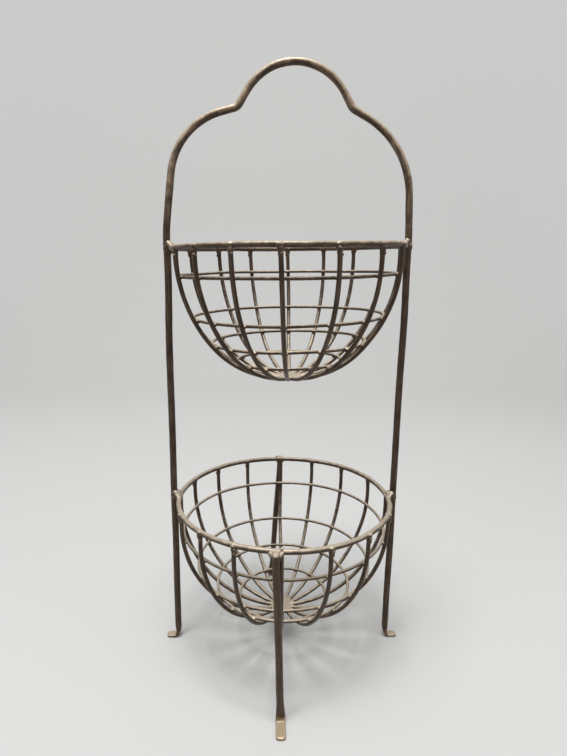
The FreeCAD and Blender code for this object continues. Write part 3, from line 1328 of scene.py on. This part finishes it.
@dataclass
class Joinery:
    """The heavy welds that hold the baskets to the rods."""

    stock: Stock
    baskets: Mapping[Tier, Basket]
    legs: Sequence[ShortLeg]
    rod_weld: RodWeld = RodWeld()
    leg_weld: LegWeld = LegWeld()

    def rod_axes(self, basket: Basket) -> List[Vector]:
        """Axes of the rods at a basket's rim.

        Args:
            basket: The basket.

        Returns:
            One point for each rod.
        """
        axes = [Vector((side.value * self.stock.rod_circle, 0.0, basket.rim_height)) for side in Side]
        if basket.tier is Tier.LOWER:
            axes += [leg.top for leg in self.legs]
        return axes

    def metal(self, shop: Workshop) -> Weld:
        """Weld metal for heavy welds, still without a shape."""
        return Weld(shop.hand, voxel=0.0006, rounds=7, lump_depth=0.0005, lump_length=0.0028)

    def build(self, shop: Workshop) -> None:
        """Builds and dresses the welds at the uprights and at the legs.

        Args:
            shop: Where the pieces go.
        """
        pool = self.metal(shop)
        for basket in self.baskets.values():
            for side in Side:
                self.rod_weld.lay(pool, basket, Vector((side.value, 0.0, 0.0)))
        shop.place(pool.mesh("frame_beads"), "welds", ["frame_welds"])
        pool = self.metal(shop)
        for leg in self.legs:
            self.leg_weld.lay(pool, self.baskets[Tier.LOWER], leg)
        shop.place(pool.mesh("leg_beads"), "welds", ["leg_welds"])


@dataclass(frozen=True)
class PhotoCamera:
    """Camera at the photograph's viewing angle."""

    place: Triple = (-0.0170, -0.6096, 0.4798)
    pitch: float = math.radians(12.54)
    yaw: float = math.radians(1.33)
    roll: float = math.radians(0.80)
    focal_pixels: float = 534.6
    image_height: float = 756.0
    sensor: float = 36.0
    clip_start: float = 0.01

    def build(self) -> None:
        """Makes the camera and looks through it."""
        data = bpy.data.cameras.new("photo_camera")
        data.sensor_width = self.sensor
        data.lens = self.focal_pixels * self.sensor / self.image_height
        data.clip_start = self.clip_start
        level = math.cos(self.pitch)
        ahead = Vector((math.sin(self.yaw) * level, math.cos(self.yaw) * level, -math.sin(self.pitch)))
        right = Vector((math.cos(self.yaw), -math.sin(self.yaw), 0.0))
        up = right.cross(ahead)
        tilted_right = right * math.cos(self.roll) + up * math.sin(self.roll)
        tilted_up = up * math.cos(self.roll) - right * math.sin(self.roll)
        turn = Matrix((tilted_right, tilted_up, -ahead)).transposed().to_4x4()
        camera = bpy.data.objects.new("photo_camera", data)
        camera.matrix_world = Matrix.Translation(self.place) @ turn
        bpy.context.scene.collection.objects.link(camera)
        bpy.context.scene.camera = camera


@dataclass(frozen=True)
class SoftBox:
    """A square soft lamp."""

    name: str
    place: Triple
    target: Triple
    size: float
    power: float

    def build(self) -> None:
        """Makes the lamp."""
        data = bpy.data.lights.new(self.name, "AREA")
        data.shape = "SQUARE"
        data.size = self.size
        data.energy = self.power
        lamp = bpy.data.objects.new(self.name, data)
        lamp.location = self.place
        lamp.rotation_mode = "QUATERNION"
        lamp.rotation_quaternion = (Vector(self.target) - Vector(self.place)).to_track_quat("-Z", "Y")
        bpy.context.scene.collection.objects.link(lamp)


@dataclass(frozen=True)
class Studio:
    """Pale floor that sweeps up into a backdrop, soft lamps and an even world."""

    finish: FloorFinish = FloorFinish()
    half_width: float = 6.0
    front: float = -6.0
    bend_start: float = 1.3
    bend: float = 0.8
    bend_steps: int = 24
    height: float = 3.5
    world_strength: float = 0.26
    lamps: Tuple[SoftBox, ...] = (
        SoftBox("overhead_lamp", (-0.20, -0.50, 3.2), (0.0, 0.0, 0.4), 0.95, 66.0),
        SoftBox("left_lamp", (-1.7, -1.3, 1.6), (0.0, 0.0, 0.3), 0.9, 7.0),
        SoftBox("right_lamp", (1.7, -0.9, 1.5), (0.0, 0.0, 0.3), 0.9, 5.0),
    )

    def build(self) -> None:
        """Makes the floor, the lamps and the world."""
        profile = [(self.front, 0.0), (self.bend_start, 0.0)]
        for k in range(1, self.bend_steps + 1):
            angle = math.pi / 2.0 * k / self.bend_steps
            rise = self.bend * (1.0 - math.cos(angle))
            profile.append((self.bend_start + self.bend * math.sin(angle), rise))
        profile.append((profile[-1][0], self.height))
        sheet = bmesh.new()
        rows = [[sheet.verts.new((x, y, z)) for x in (-self.half_width, self.half_width)] for y, z in profile]
        for first, second in zip(rows, rows[1:]):
            face = sheet.faces.new((first[0], first[1], second[1], second[0]))
            face.smooth = True
        made = bpy.data.meshes.new("studio_floor")
        sheet.to_mesh(made)
        sheet.free()
        made.materials.append(self.finish.material())
        floor = bpy.data.objects.new("studio_floor", made)
        bpy.context.scene.collection.objects.link(floor)
        for lamp in self.lamps:
            lamp.build()
        self._world()

    def _world(self) -> None:
        """Makes the world: even light, and a pale background where it is seen or mirrored."""
        world = bpy.data.worlds.new("studio_world")
        world.use_nodes = True
        bpy.context.scene.world = world
        net = Net(world.node_tree)
        strength = self.world_strength + net.seen() * (1.0 - self.world_strength)
        tint = net.mix((1.0, 1.0, 1.0, 1.0), self.finish.far, net.seen())
        glow = net.out("ShaderNodeBackground", None, {"Color": tint, "Strength": strength})
        net.node("ShaderNodeOutputWorld", None, {"Surface": glow})


def make_baskets(stock: Stock) -> Mapping[Tier, Basket]:
    """The two baskets with their own sizes.

    Args:
        stock: The wire sizes.

    Returns:
        The upper and the lower basket, in this order.
    """
    upper = Basket(
        stock, Tier.UPPER, rim_height=0.493, depth=0.148, wall=0.008, lean=math.radians(1.35),
        ring_shares=(0.205, 0.522, 0.725, 0.881),
        rib_shifts=(-0.19, -0.11, -0.11, -0.22, 0.15, 0.05, 0.08, -0.04,
                    -0.07, -0.06, -0.15, -0.13, -0.15, 0.15, 0.0, -0.12),
        closing_lumps={"ring_3": math.radians(-94.5)})
    lower = Basket(
        stock, Tier.LOWER, rim_height=0.195, depth=0.151, wall=0.015, lean=0.0,
        ring_shares=(0.234, 0.565, 0.769, 0.906),
        rib_shifts=(-0.10, -0.07, -0.05, 0.0, 0.15, 0.19, 0.20, 0.14,
                    0.05, 0.04, -0.01, -0.07, -0.15, 0.0, -0.02, -0.10),
        closing_lumps={"rim": math.radians(91.0), "ring_2": math.radians(48.0)})
    return {basket.tier: basket for basket in (upper, lower)}


def main() -> None:
    """Builds the pieces in order, then the studio and the camera."""
    logging.basicConfig(level=logging.INFO, format="%(message)s")
    noise.seed_set(HAND_SEED)
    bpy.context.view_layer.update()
    bpy.context.scene.view_settings.view_transform = "Standard"
    iron = IronFinish("brown_iron").material()
    # The welds take the painted highlight from a lower slope, so on more of their faces.
    weld = IronFinish("brown_weld", dark=(0.026, 0.015, 0.010, 1.0), fleck_share=0.70,
                      highlight_and_rubbed_span=(0.02, 0.95), mottle_scale=90.0, dent_depth=0.0006).material()
    shop = Workshop(HandWork(), iron, weld)
    stock = Stock()
    toe = Toe()
    baskets = make_baskets(stock)
    high_rim, low_rim = (basket.rim_height for basket in baskets.values())
    legs = [
        ShortLeg(stock, toe, LegPlace.FRONT, top_shift=0.011, foot_shift=0.004, rim_height=low_rim),
        ShortLeg(stock, toe, LegPlace.REAR, top_shift=0.0035, foot_shift=0.014, rim_height=low_rim),
    ]
    joinery = Joinery(stock, baskets, legs)
    HandleFrame(stock, toe, high_rim).build(shop)
    for leg in legs:
        leg.build(shop)
    for basket in baskets.values():
        basket.build_rim(shop)
        basket.build_rings(shop)
        basket.build_ribs(shop)
        basket.build_hub(shop)
        basket.build_ring_beads(shop)
        basket.build_rim_beads(shop, joinery.rod_axes(basket))
    joinery.build(shop)
    Studio().build()
    PhotoCamera().build()


if __name__ == "__main__":
    main()
